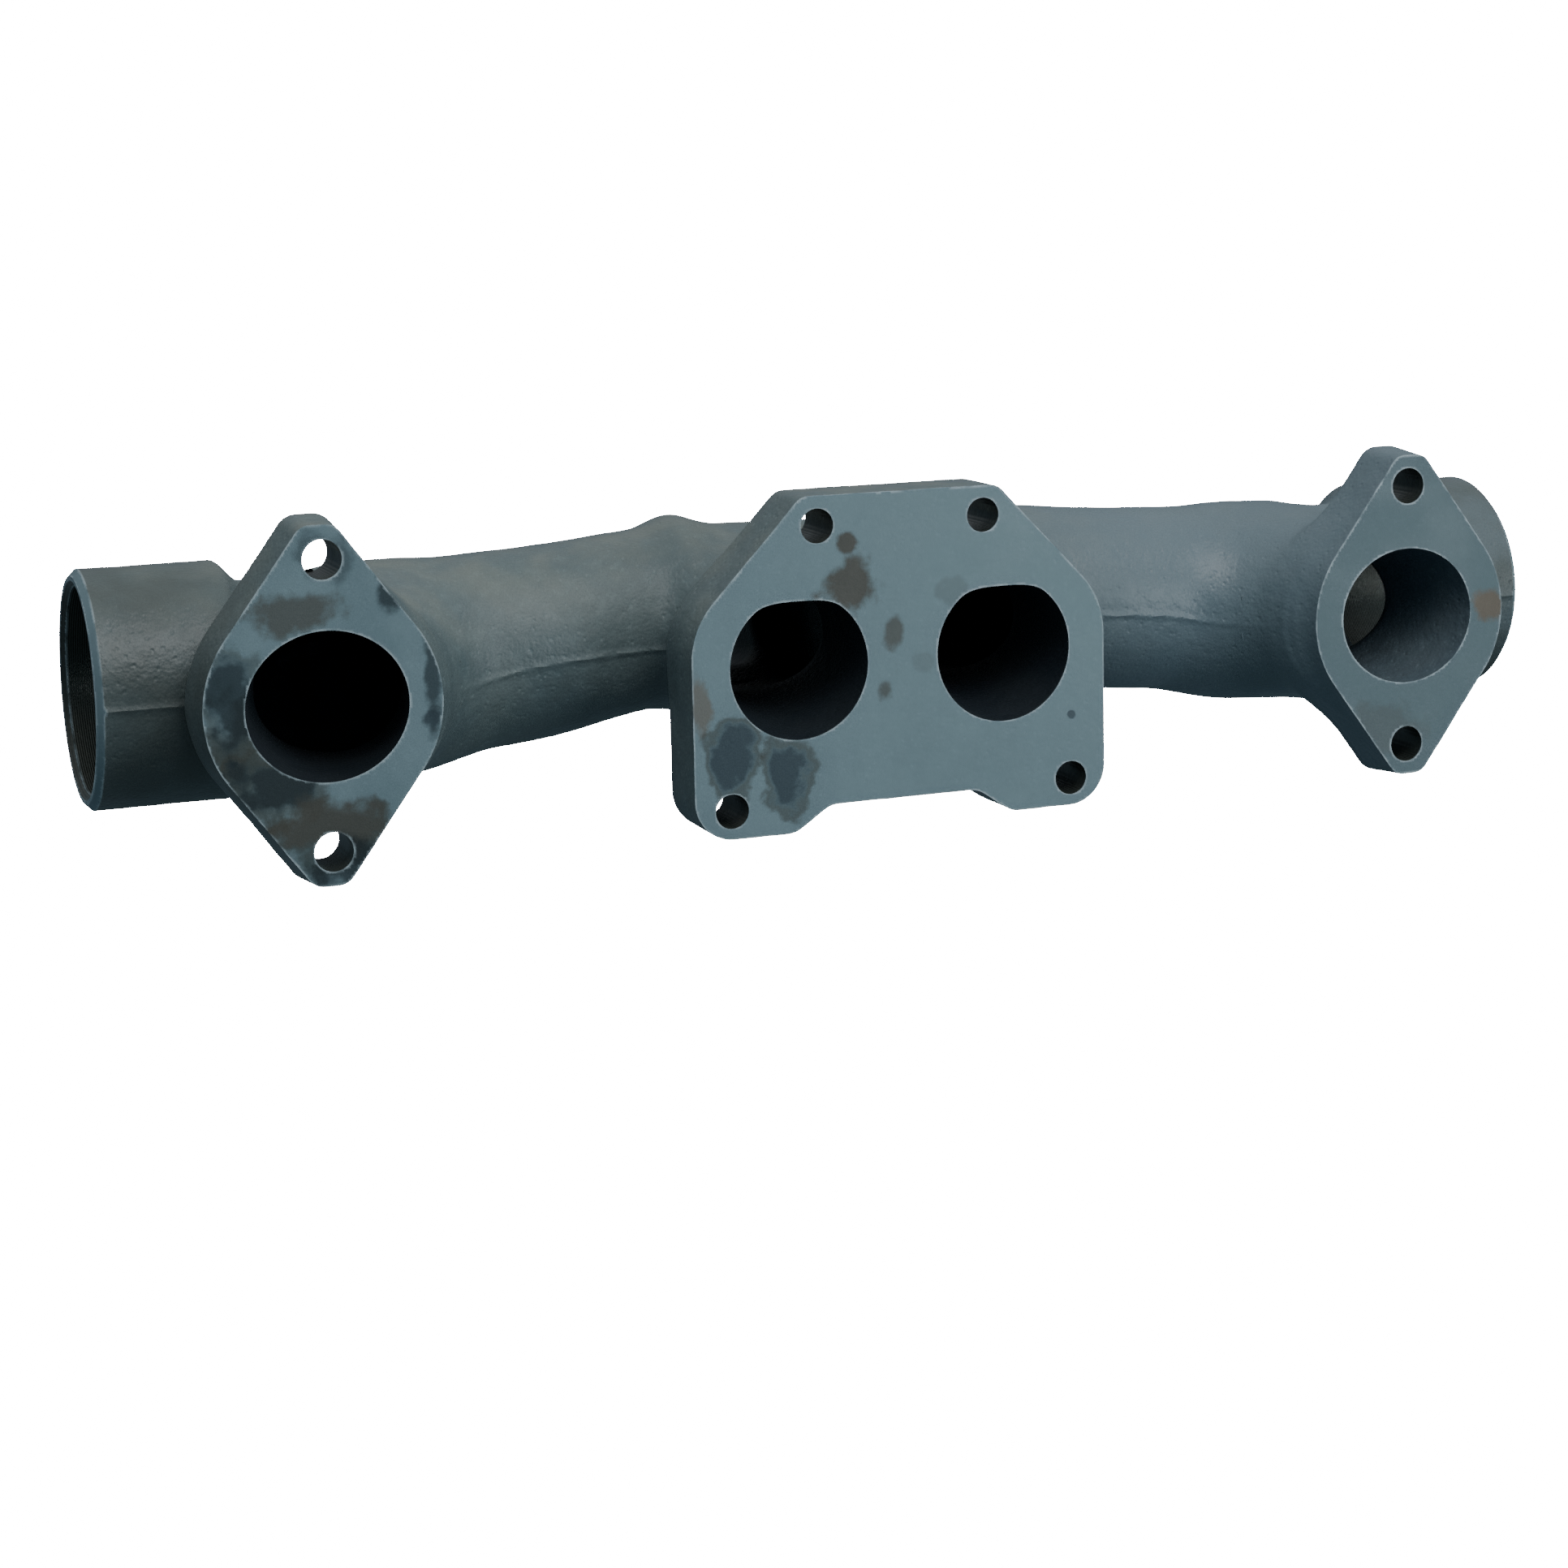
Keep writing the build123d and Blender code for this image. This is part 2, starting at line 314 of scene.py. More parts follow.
def station_curve(stations: tuple, column: int) -> Callable[[Array], Array]:
    """Return a smooth monotone curve through stations, level at its ends, crests and dips."""
    at = np.array([station[0] for station in stations])
    value = np.array([station[column] for station in stations])
    rise = np.diff(value) / np.diff(at)
    slope = np.zeros_like(value)
    product = rise[:-1] * rise[1:]
    total = np.where(product > 0, rise[:-1] + rise[1:], 1.0)
    slope[1:-1] = np.where(product > 0, 2 * product / total, 0.0)

    def curve(x: Array) -> Array:
        """Return the curve's value at x, held level past both ends."""
        x = np.clip(x, at[0], at[-1])
        index = np.clip(np.searchsorted(at, x, side="right") - 1, 0, len(at) - 2)
        span = at[index + 1] - at[index]
        t = (x - at[index]) / span
        level = value[index] + (value[index + 1] - value[index]) * t * t * (3 - 2 * t)
        leave = slope[index] * span * t * (1 - t) ** 2
        arrive = slope[index + 1] * span * t * t * (1 - t)
        return level + leave - arrive

    return curve


class Outline:
    """A closed outline in the X-Z plane with rounded corners."""

    ARC_STEPS = 10

    def __init__(self, corners: list[tuple[float, float, float]]) -> None:
        """Args: corners: x, z and corner radius, in order round the outline."""
        loop = []
        count = len(corners)
        for index, (x, z, radius) in enumerate(corners):
            here = np.array((x, z))
            back = np.array(corners[index - 1][:2]) - here
            ahead = np.array(corners[(index + 1) % count][:2]) - here
            loop.extend(self._round(here, back, ahead, radius))
        self.points = np.array(loop)

    def _round(self, here: Array, back: Array, ahead: Array, radius: float) -> list[Array]:
        """Return the arc of one corner as points."""
        back = back / np.hypot(*back)
        ahead = ahead / np.hypot(*ahead)
        half = math.acos(float(np.clip(back @ ahead, -1, 1))) / 2
        reach = radius / math.tan(half)
        bisector = back + ahead
        centre = here + bisector / np.hypot(*bisector) * radius / math.sin(half)
        start = here + back * reach - centre
        end = here + ahead * reach - centre
        turn = math.atan2(start[0] * end[1] - start[1] * end[0], float(start @ end))
        angles = np.linspace(0, turn, self.ARC_STEPS)
        first = math.atan2(start[1], start[0])
        return [centre + radius * np.array((math.cos(first + a), math.sin(first + a))) for a in angles]

    def distance(self, x: Array, z: Array) -> Array:
        """Return the signed distance to the outline, negative inside."""
        shape = np.broadcast(x, z).shape
        nearest = np.full(shape, np.inf)
        inside = np.zeros(shape, bool)
        for (ax, az), (bx, bz) in zip(self.points, np.roll(self.points, -1, axis=0)):
            ex, ez = bx - ax, bz - az
            length2 = ex * ex + ez * ez
            if length2 < 1e-9:
                continue
            t = np.clip(((x - ax) * ex + (z - az) * ez) / length2, 0, 1)
            nearest = np.minimum(nearest, (x - ax - t * ex) ** 2 + (z - az - t * ez) ** 2)
            if abs(ez) > 1e-9:
                crosses = ((az > z) != (bz > z)) & (x < (z - az) * ex / ez + ax)
                inside ^= crosses
        return np.where(inside, -1.0, 1.0) * np.sqrt(nearest)


def diamond_outline(sizes: Sizes) -> Outline:
    """Return the outer ports' flange outline, drawn for the right-hand flange."""
    tip, side, slope = 5.7, 36.4, 36.3
    shift = 1.0
    cos, sin = math.cos(math.radians(slope)), math.sin(math.radians(slope))
    corners = []
    for sign_x, sign_z in ((1, 1), (1, -1), (-1, -1), (-1, 1)):
        outer = side + shift * sign_x * cos
        top_x = (outer - sizes.tip_z * sin) / cos
        waist_z = (outer - (side + shift * sign_x) * cos) / sin
        waist_x = sign_x * (side + shift * sign_x)
        ends = [(sign_x * top_x, sign_z * sizes.tip_z, tip), (waist_x, sign_z * waist_z, 38.0)]
        corners += ends if sign_z > 0 and sign_x > 0 or sign_z < 0 and sign_x < 0 else ends[::-1]
    return Outline([(sizes.port_x + x, z, radius) for x, z, radius in corners])


def centre_outline() -> Outline:
    """Return the middle flange's outline."""
    right = list(CENTRE_OUTLINE)
    left = [(-x, z, radius) for x, z, radius in reversed(CENTRE_OUTLINE)]
    return Outline(right + left)


def rounded_box(x: Array, z: Array, half_w: float, half_h: float, radius: float) -> Array:
    """Return the signed distance to a rounded rectangle about the origin."""
    u = np.abs(x) - half_w + radius
    v = np.abs(z) - half_h + radius
    return np.hypot(np.maximum(u, 0), np.maximum(v, 0)) + np.minimum(np.maximum(u, v), 0) - radius


def plate(outline: Array, y: Array, near: float, far: float, radius: float) -> Array:
    """Return an outline drawn through a depth, its far edge rounded."""
    across = outline + radius
    depth = np.maximum(near - radius - y, y - far) + radius
    outside = np.hypot(np.maximum(across, 0), np.maximum(depth, 0))
    return outside + np.minimum(np.maximum(across, depth), 0) - radius


def ripple(x: Array, y: Array, z: Array) -> Array:
    """Return the slight waviness of a sand casting, about plus or minus one."""
    total = 0.0
    for index in range(7):
        turn = 2.4 * index + 0.7
        pitch = 2 * math.pi / (34.0 - 4.0 * index)
        u = math.cos(turn) * x + math.sin(turn) * y + 0.6 * math.sin(2.1 * turn) * z
        v = math.sin(1.7 * turn) * x - math.cos(1.3 * turn) * z
        total = total + np.sin(pitch * u + 1.9 * index) * np.cos(pitch * 0.8 * v + 0.5 * index)
    return total / 3.5


# --------------------------------------------------------------------------- the casting


class Casting:
    """The manifold's signed distance fields. Every field is symmetric about X = 0."""

    def __init__(self, sizes: Sizes) -> None:
        """Args: sizes: the driving sizes in millimetres."""
        self.s = sizes
        self.axis_z = station_curve(PIPE_STATIONS, 1)
        self.radius = station_curve(PIPE_STATIONS, 2)
        self.seam_z = station_curve(SEAM_STATIONS, 1)
        self.diamond = diamond_outline(sizes)
        self.centre = centre_outline()

    def pipe(self, x: Array, y: Array, z: Array) -> Array:
        """The gas pipe's outside, with the sockets and the boss over the collector."""
        across = np.abs(x)
        return np.hypot(y - self.s.axis_y, z - self.axis_z(across)) - self.radius(across)

    def seam(self, x: Array, z: Array) -> Array:
        """The raised parting line along the pipe's front and back, as a height in millimetres."""
        return SEAM_HEIGHT * np.exp(-(((z - self.seam_z(np.abs(x))) / SEAM_HALF) ** 2))

    def port_neck(self, x: Array, y: Array, z: Array) -> Array:
        """The outer port's neck, leaning towards the middle with depth."""
        centre = self.s.port_x - PORT_LEAN * y
        half_w = np.interp(y, (20.0, 58.0), (30.0, 27.0))
        half_h = np.interp(y, (20.0, 58.0), (29.2, 27.0))
        ring = (np.hypot((np.abs(x) - centre) / half_w, z / half_h) - 1) * half_h
        return np.maximum(ring, np.maximum(self.s.port_t - OVERLAP - y, y - NECK_END))

    def elbow(self, x: Array, y: Array, z: Array) -> Array:
        """The swelling where the outer port turns into the pipe, a capsule lying in plan."""
        across = np.abs(x)
        ax, ay = self.s.port_x - ELBOW_NEAR[0], ELBOW_NEAR[1]
        bx, by = self.s.port_x - ELBOW_FAR[0], ELBOW_FAR[1]
        ex, ey = bx - ax, by - ay
        t = np.clip(((across - ax) * ex + (y - ay) * ey) / (ex * ex + ey * ey), 0, 1)
        ball = np.sqrt((across - ax - t * ex) ** 2 + (y - ay - t * ey) ** 2 + (z + 1.0) ** 2) - ELBOW_R
        return np.maximum(ball, self.s.port_t - OVERLAP - y)

    def centre_neck(self, x: Array, y: Array, z: Array) -> Array:
        """A middle port's neck, rising towards the collector."""
        share = np.clip((y - self.s.centre_t) / 36.0, 0, 1)
        away = np.hypot(np.abs(x) - MIDDLE_X + MIDDLE_SHIFT * share, z - MIDDLE_RISE * share)
        ring = away - (MIDDLE_NECK_R - MIDDLE_NECK_SHRINK * share)
        return np.maximum(ring, np.maximum(self.s.centre_t - OVERLAP - y, y - NECK_END))

    def turbo_neck(self, x: Array, y: Array, z: Array) -> Array:
        """The neck behind the collector."""
        share = np.clip((y - 75.0) / (self.s.turbo_front - 75.0), 0, 1)
        ring = rounded_box(x, z - 6.0 + 5.0 * share, 47.5 + 4.0 * share, 21.5 + 3.0 * share, 18.0)
        return np.maximum(ring, np.maximum(72.0 - y, y - self.s.turbo_front - 4.0))

    def skin(self, x: Array, y: Array, z: Array) -> Array:
        """The whole cast outside: pipe, necks and plates, filleted into one another."""
        s = self.s
        across = np.abs(x)
        tube = self.pipe(x, y, z) - self.seam(x, z)
        body = smooth_min(tube, self.port_neck(x, y, z), NECK_BLEND)
        body = smooth_min(body, self.elbow(x, y, z), ELBOW_BLEND)
        body = smooth_min(body, self.centre_neck(x, y, z), NECK_BLEND)
        body = smooth_min(body, self.turbo_neck(x, y, z), NECK_BLEND)
        draft = PORT_DRAFT / s.port_t * np.clip(y, 0.0, s.port_t)
        diamond = plate(self.diamond.distance(across, z) - draft, y, -4.0, s.port_t, 2.0)
        centre = plate(self.centre.distance(x, z), y, -4.0, s.centre_t, 2.0)
        body = smooth_min(body, diamond, PLATE_BLEND)
        body = smooth_min(body, centre, PLATE_BLEND)
        flange = rounded_box(x, z - s.turbo_z, s.turbo_w / 2, s.turbo_h / 2, 9.0)
        flange = np.maximum(flange, np.maximum(s.turbo_front - y, y - s.turbo_face - 4.0))
        body = smooth_min(body, flange, 3.0)
        return body + 0.10 * ripple(x, y, z) + 0.10

    def gas_pipe(self, x: Array, y: Array, z: Array) -> Array:
        """The inside of the gas pipe, up to the floor of the sockets."""
        across = np.minimum(np.abs(x), self.s.body_end)
        return np.hypot(y - self.s.axis_y, z - self.axis_z(across)) - self.radius(across) + WALL

    def gas(self, x: Array, y: Array, z: Array) -> Array:
        """All the gas ways: the pipe's inside and the six ports that open into it."""
        s = self.s
        across = np.abs(x)
        wide = (across - s.port_x + PORT_LEAN * y) / (PORT_HALF_W - PORT_TAPER_W * y)
        port = np.hypot(wide, z / (PORT_HALF_H - PORT_TAPER_H * y)) - 1
        port = np.maximum(port * PORT_HALF_H, y - PASSAGE_END)
        share = y / PASSAGE_DEPTH
        away = np.hypot(across - MIDDLE_X + MIDDLE_SHIFT * share, z - MIDDLE_RISE * share)
        middle = away - (MIDDLE_R - MIDDLE_SHRINK * share)
        middle = smooth_max(middle, z - MIDDLE_FLAT - 8.0 * share, 3.0)
        middle = np.maximum(middle, y - PASSAGE_END)
        turbo_share = np.clip((s.turbo_face - y) / 50.0, 0, 1)
        rise = z - s.turbo_z - 7.0 * turbo_share
        turbo = rounded_box(across - 31.6, rise, 14.4, 19.0 - 2.0 * turbo_share, 8.0)
        turbo = np.maximum(turbo, PASSAGE_END - y)
        ways = smooth_min(self.gas_pipe(x, y, z), port, GAS_BLEND)
        ways = smooth_min(ways, middle, GAS_BLEND)
        return smooth_min(ways, turbo, GAS_BLEND)

    def socket_bore(self, x: Array, y: Array, z: Array) -> Array:
        """The turned bore at each end."""
        ring = np.hypot(y - self.s.axis_y, z) - self.s.bore_r
        return np.maximum(ring, self.s.socket_end - self.s.bore_depth - np.abs(x))

    def rim(self, x: Array, y: Array, z: Array) -> Array:
        """The small chamfer round the outside of each socket's mouth."""
        reach = self.s.socket_end + self.s.socket_r - RIM_CHAMFER
        return (np.hypot(y - self.s.axis_y, z) + np.abs(x) - reach) / math.sqrt(2)

    def lip(self, x: Array, y: Array, z: Array) -> Array:
        """The small chamfer inside each socket's mouth."""
        reach = self.s.socket_end - self.s.bore_r - LIP_CHAMFER
        return (np.abs(x) - np.hypot(y - self.s.axis_y, z) - reach) / math.sqrt(2)


def below(axis: int, limit: float) -> Field:
    """Return the half space below a coordinate."""
    return lambda *point: point[axis] - limit


def above(axis: int, limit: float) -> Field:
    """Return the half space above a coordinate."""
    return lambda *point: limit - point[axis]


def void(field: Field) -> Field:
    """Return the outside of a field, so that the solid is cut by it."""
    return lambda x, y, z: -field(x, y, z)


def drill(at_x: float, at_z: float, radius: float) -> Field:
    """Return the outside of a hole along Y."""
    return lambda x, y, z: radius - np.hypot(x - at_x, z - at_z)


# Planes where two regions of the casting meet.
JOINS = ("root", "near", "far", "front", "back", "middle", "left", "right", "ring", "rear")


def build_regions(casting: Casting) -> list[Region]:
    """Return the right-hand and the middle regions of the casting.

    Args:
        casting: the fields that the regions are cut from.

    Returns:
        The regions; those named right are mirrored later for the left.
    """
    s = casting.s
    skin = Surface("skin", casting.skin)
    gas = Surface("gas", void(casting.gas), Skin.GAS)
    face = Surface("face", above(1, 0.0), Skin.MACHINED)
    top, bottom = s.tip_z + PORT_DRAFT + 1.0, -s.tip_z - PORT_DRAFT - 1.0
    back = s.turbo_face + 1.0

    def cut(name: str, field: Field, finish: Skin = Skin.CAST) -> Surface:
        """Return a surface, marked as a join where its name says so."""
        return Surface(name, field, finish, finish == Skin.CAST and name in JOINS)

    def hole(at_x: float, at_z: float, radius: float) -> Surface:
        """Return a bolt hole's surface."""
        return Surface(f"hole_{at_x:.0f}_{at_z:.0f}", drill(at_x, at_z, radius), Skin.TURNED)

    socket = Region(
        "right_socket",
        (
            skin,
            cut("root", above(0, s.body_end)),
            cut("mouth", below(0, s.socket_end), Skin.MACHINED),
            cut("rim", casting.rim, Skin.MACHINED),
            cut("lip", casting.lip, Skin.TURNED),
            cut("bore", void(casting.socket_bore), Skin.TURNED),
            cut("front", above(1, PORT_CUT)),
            gas,
        ),
        (s.body_end, PORT_CUT, bottom),
        (s.socket_end, back, top),
    )
    body = Region(
        "right_branch_body",
        (
            skin,
            cut("near", above(0, s.runner_end)),
            cut("far", below(0, s.body_end)),
            cut("front", above(1, PORT_CUT)),
            gas,
        ),
        (s.runner_end, PORT_CUT, bottom),
        (s.body_end, back, top),
    )
    runner = Region(
        "right_runner",
        (skin, cut("near", above(0, s.collector_end)), cut("far", below(0, s.runner_end)), gas),
        (s.collector_end, 20.0, bottom),
        (s.runner_end, back, top),
    )
    collector = Region(
        "right_collector",
        (
            skin,
            cut("near", above(0, 0.0)),
            cut("far", below(0, s.collector_end)),
            cut("front", above(1, CENTRE_CUT)),
            cut("back", below(1, TURBO_CUT)),
            gas,
        ),
        (0.0, CENTRE_CUT, bottom),
        (s.collector_end, TURBO_CUT, top),
    )
    port_neck = Region(
        "right_port_neck",
        (
            skin,
            cut("near", above(0, s.runner_end)),
            cut("front", above(1, s.port_t)),
            cut("back", below(1, PORT_CUT)),
            gas,
        ),
        (s.runner_end, s.port_t, bottom),
        (235.0, PORT_CUT, top),
    )
    port_flange = Region(
        "right_port_flange",
        (
            skin,
            face,
            cut("rear", below(1, s.port_t)),
            gas,
            hole(s.port_x, s.bolt_row, s.port_hole_r),
            hole(s.port_x, -s.bolt_row, s.port_hole_r),
        ),
        (s.runner_end, 0.0, bottom),
        (235.0, s.port_t, top),
    )
    centre_neck = Region(
        "right_centre_neck",
        (
            skin,
            cut("front", above(1, s.centre_t)),
            cut("middle", above(0, 0.0)),
            cut("far", below(0, s.collector_end)),
            cut("back", below(1, CENTRE_CUT)),
            gas,
        ),
        (0.0, s.centre_t, bottom),
        (s.collector_end, CENTRE_CUT, top),
    )
    centre_flange = Region(
        "centre_port_flange",
        (
            skin,
            face,
            cut("rear", below(1, s.centre_t)),
            gas,
            hole(-s.centre_top_x, s.bolt_row, s.centre_hole_r),
            hole(s.centre_top_x, s.bolt_row, s.centre_hole_r),
            hole(-s.centre_bottom_x, -s.bolt_row, s.centre_hole_r),
            hole(s.centre_bottom_x, -s.bolt_row, s.centre_hole_r),
        ),
        (-s.collector_end, 0.0, bottom),
        (s.collector_end, s.centre_t, top),
    )
    divider = Region(
        "collector_divider",
        (cut("left", above(0, -3.0)), cut("right", below(0, 3.0)), cut("ring", casting.gas_pipe)),
        (-3.0, 20.0, bottom),
        (3.0, back, top),
    )
    turbo_neck = Region(
        "turbo_neck",
        (skin, cut("front", above(1, TURBO_CUT)), cut("back", below(1, s.turbo_front)), gas),
        (-s.collector_end, TURBO_CUT, bottom),
        (s.collector_end, s.turbo_front, top),
    )
    turbo_flange = Region(
        "turbo_flange",
        (
            skin,
            cut("front", above(1, s.turbo_front)),
            cut("face", below(1, s.turbo_face), Skin.MACHINED),
            gas,
            hole(-s.turbo_hole_x, s.turbo_z + s.turbo_hole_z, s.turbo_hole_r),
            hole(s.turbo_hole_x, s.turbo_z + s.turbo_hole_z, s.turbo_hole_r),
            hole(-s.turbo_hole_x, s.turbo_z - s.turbo_hole_z, s.turbo_hole_r),
            hole(s.turbo_hole_x, s.turbo_z - s.turbo_hole_z, s.turbo_hole_r),
        ),
        (-s.collector_end, s.turbo_front, bottom),
        (s.collector_end, s.turbo_face, top),
    )
    return [
        socket, body, runner, collector, port_neck, port_flange, centre_neck,
        centre_flange, divider, turbo_neck, turbo_flange,
    ]


# --------------------------------------------------------------------------- meshing


def lattice(low: float, high: float) -> Array:
    """Return grid coordinates at odd halves of a cell, a little past both ends."""
    first = math.floor(low / CELL) - 1.5
    last = math.ceil(high / CELL) + 1.5
    return np.arange(first, last + 0.01) * CELL


def gradient(field: Field, points: Array, value: Array) -> Array:
    """Return a field's gradient at points, by small forward steps."""
    step = 0.02
    result = np.empty_like(points)
    for axis in range(3):
        moved = points.copy()
        moved[:, axis] += step
        result[:, axis] = (field(moved[:, 0], moved[:, 1], moved[:, 2]) - value) / step
    return result


def settle(points: Array, surfaces: tuple[Surface, ...], marks: Array) -> Array:
    """Move points onto every surface that they are marked with.

    Args:
        points: starting points, one in each crossed cell.
        surfaces: the region's surfaces.
        marks: for each point, a bit for each surface that crosses its cell.

    Returns:
        The settled points, none more than about a cell from where it started.
    """
    start = points.copy()
    several = (marks & (marks - 1)) != 0
    for round_number in range(16):
        for index, surface in enumerate(surfaces):
            rows = (marks & (1 << index)) != 0
            if round_number >= 3:
                rows &= several
            if not rows.any():
                continue
            here = points[rows]
            value = surface.value(here[:, 0], here[:, 1], here[:, 2])
            slope = gradient(surface.value, here, value)
            move = slope * (value / np.maximum((slope ** 2).sum(axis=1), 0.2))[:, None]
            points[rows] = here - np.clip(move, -0.6, 0.6)
    strayed = np.abs(points - start).max(axis=1) > 1.3 * CELL
    points[strayed] = start[strayed]
    return points


def polygonise(region: Region) -> Solid:
    """Turn a region into a closed quad mesh with exact arrises.

    Args:
        region: the solid's surfaces and the block that holds it.

    Returns:
        The mesh, with each quad's finish and a mark of one at each point on an arris.
    """
    axes = [lattice(low, high) for low, high in zip(region.low, region.high)]
    grid = np.meshgrid(*axes, indexing="ij", sparse=True)
    shape = tuple(len(axis) for axis in axes)
    value = np.full(shape, -np.inf, np.float32)
    leader = np.zeros(shape, np.uint8)
    for index, surface in enumerate(region.surfaces):
        layer = np.broadcast_to(surface.value(*grid), shape).astype(np.float32)
        ahead = layer > value
        value = np.where(ahead, layer, value)
        leader[ahead] = index
    inside = value < 0
    cells = tuple(size - 1 for size in shape)
    total = int(np.prod(cells))
    sums = np.zeros((3, total))
    count = np.zeros(total)
    marks = np.zeros(total, np.int64)
    faces = []
    for axis in range(3):
        near = [slice(None)] * 3
        far = [slice(None)] * 3
        near[axis] = slice(None, -1)
        far[axis] = slice(1, None)
        crossed = np.argwhere(inside[tuple(near)] != inside[tuple(far)])
        step = np.eye(3, dtype=int)[axis]
        low_value = value[tuple(crossed.T)]
        high_value = value[tuple((crossed + step).T)]
        share = low_value / (low_value - high_value)
        place = np.stack([axes[k][crossed[:, k]] for k in range(3)], axis=1)
        place[:, axis] += share * CELL
        starts_inside = low_value < 0
        outer = crossed + step * starts_inside[:, None]
        lead = leader[tuple(outer.T)]
        u, v = (axis + 1) % 3, (axis + 2) % 3
        ring = []
        for du, dv in ((1, 1), (0, 1), (0, 0), (1, 0)):
            cell = crossed.copy()
            cell[:, u] -= du
            cell[:, v] -= dv
            flat = np.ravel_multi_index(tuple(cell.T), cells)
            ring.append(flat)
            for k in range(3):
                sums[k] += np.bincount(flat, place[:, k], total)
            count += np.bincount(flat, minlength=total)
            np.bitwise_or.at(marks, flat, 1 << lead.astype(np.int64))
        ring = np.stack(ring, axis=1)
        ring[~starts_inside] = ring[~starts_inside][:, ::-1]
        faces.append((ring, lead))
    used = np.flatnonzero(count)
    points = (sums[:, used] / count[used]).T
    points = settle(points, region.surfaces, marks[used])
    number = np.full(total, -1)
    number[used] = np.arange(len(used))
    quads = number[np.concatenate([ring for ring, lead in faces])]
    lead = np.concatenate([lead for ring, lead in faces])
    finish = np.array([surface.finish for surface in region.surfaces])[lead]
    joins = sum(1 << index for index, surface in enumerate(region.surfaces) if surface.join)
    several = ((marks[used] & (marks[used] - 1)) != 0) & ((marks[used] & joins) == 0)
    return Solid(points, quads, finish, several.astype(np.float32))


def add_mesh(name: str, solid: Solid, materials: list[bpy.types.Material]) -> bpy.types.Object:
    """Add a solid to the scene, in metres, shaded smooth with its arrises sharp."""
    mesh = bpy.data.meshes.new(name)
    mesh.from_pydata(solid.points * MM, [], solid.quads)
    for material in materials:
        mesh.materials.append(material)
    mesh.polygons.foreach_set("material_index", solid.finish.astype(np.int32))
    arris = mesh.attributes.new("arris", "FLOAT", "POINT")
    arris.data.foreach_set("value", solid.arris)
    mesh.update()
    mesh.shade_smooth()
    mesh.set_sharp_from_angle(angle=math.radians(32))
    thing = bpy.data.objects.new(name, mesh)
    bpy.context.scene.collection.objects.link(thing)
    return thing


# --------------------------------------------------------------------------- materials


class Graph:
    """A thin wrapper round a node tree, which adds nodes and links them by name."""

    def __init__(self, tree: bpy.types.NodeTree) -> None:
        """Args: tree: the tree that nodes are added to."""
        self.tree = tree

    def add(self, kind: str, settings: dict | None = None, **links: object) -> bpy.types.Node:
        """Add a node; each link is a socket or a value for the input of that name."""
        node = self.tree.nodes.new(kind)
        for name, value in (settings or {}).items():
            setattr(node, name, value)
        for name, value in links.items():
            self.feed(node, name.replace("_", " "), value)
        return node

    def feed(self, node: bpy.types.Node, name: str | int, value: object) -> None:
        """Link a socket to an input, or set the input's value."""
        if isinstance(value, bpy.types.NodeSocket):
            self.tree.links.new(value, node.inputs[name])
        else:
            node.inputs[name].default_value = value

    def maths(self, operation: str, *values: object) -> bpy.types.NodeSocket:
        """Return a maths node's value."""
        node = self.add("ShaderNodeMath", {"operation": operation})
        for index, value in enumerate(values):
            self.feed(node, index, value)
        return node.outputs[0]

    def vector(self, operation: str, *values: object) -> bpy.types.Node:
        """Return a vector maths node."""
        node = self.add("ShaderNodeVectorMath", {"operation": operation})
        for index, value in enumerate(values):
            self.feed(node, index, value)
        return node

    def step(self, value: object, low: float, high: float) -> bpy.types.NodeSocket:
        """Return a smooth step from 0 at low to 1 at high."""
        node = self.add("ShaderNodeMapRange", {"interpolation_type": "SMOOTHSTEP"})
        for index, item in enumerate((value, low, high)):
            self.feed(node, index, item)
        return node.outputs[0]

    def mix(self, factor: object, a: object, b: object) -> bpy.types.NodeSocket:
        """Return a mix of two colours."""
        node = self.add("ShaderNodeMix", {"data_type": "RGBA"})
        for index, item in ((0, factor), (6, a), (7, b)):
            self.feed(node, index, item)
        return node.outputs[2]

    def noise(self, vector: object, scale: float, detail: float = 4.0) -> bpy.types.NodeSocket:
        """Return a noise texture's value."""
        return self.add("ShaderNodeTexNoise", Vector=vector, Scale=scale, Detail=detail).outputs[0]

    def use(self, group: bpy.types.NodeTree, **links: object) -> bpy.types.Node:
        """Place a node group."""
        return self.add("ShaderNodeGroup", {"node_tree": group}, **links)


def new_group(name: str, inputs: tuple, outputs: tuple) -> tuple[Graph, bpy.types.Node, bpy.types.Node]:
    """Return an empty node group's graph with its input and output nodes."""
    tree = bpy.data.node_groups.new(name, "ShaderNodeTree")
    for label, kind in inputs:
        tree.interface.new_socket(name=label, in_out="INPUT", socket_type="NodeSocket" + kind)
    for label, kind in outputs:
        tree.interface.new_socket(name=label, in_out="OUTPUT", socket_type="NodeSocket" + kind)
    return Graph(tree), tree.nodes.new("NodeGroupInput"), tree.nodes.new("NodeGroupOutput")


